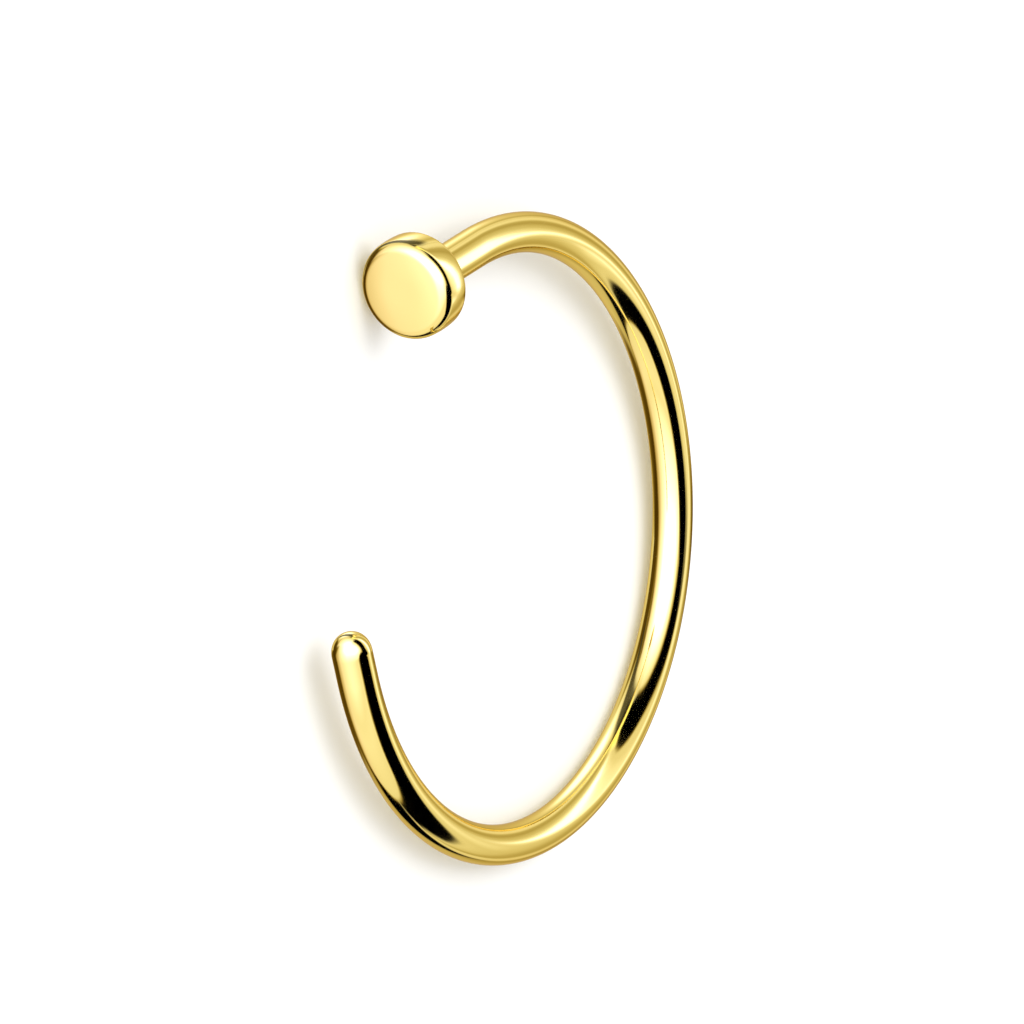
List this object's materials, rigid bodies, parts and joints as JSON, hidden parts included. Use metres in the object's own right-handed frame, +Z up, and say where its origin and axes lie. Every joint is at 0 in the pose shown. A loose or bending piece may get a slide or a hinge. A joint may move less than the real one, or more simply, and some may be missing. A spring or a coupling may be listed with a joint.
{
  "type": "piercing ring",
  "caption": "Open hoop of round gold-coloured wire for a nose piercing, with a flat disc stop at its fixed end and a rounded tip at its free end.",
  "frame": {"origin": "on the floor under the middle of the hoop's outline, with the hoop lying on its side", "axes": "+Z up, square to the hoop's plane but for its small lean on the disc; +X out through the gap between the disc and the tip; +Y from the disc's side to the tip's side"},
  "size_m": [0.0094, 0.0096, 0.0015],
  "materials": {
    "gold_plating": "mirror-polished gold plating over steel"
  },
  "bodies": {
    "root": {"nose_hoop": "gold_plating"}
  },
  "joints": []
}
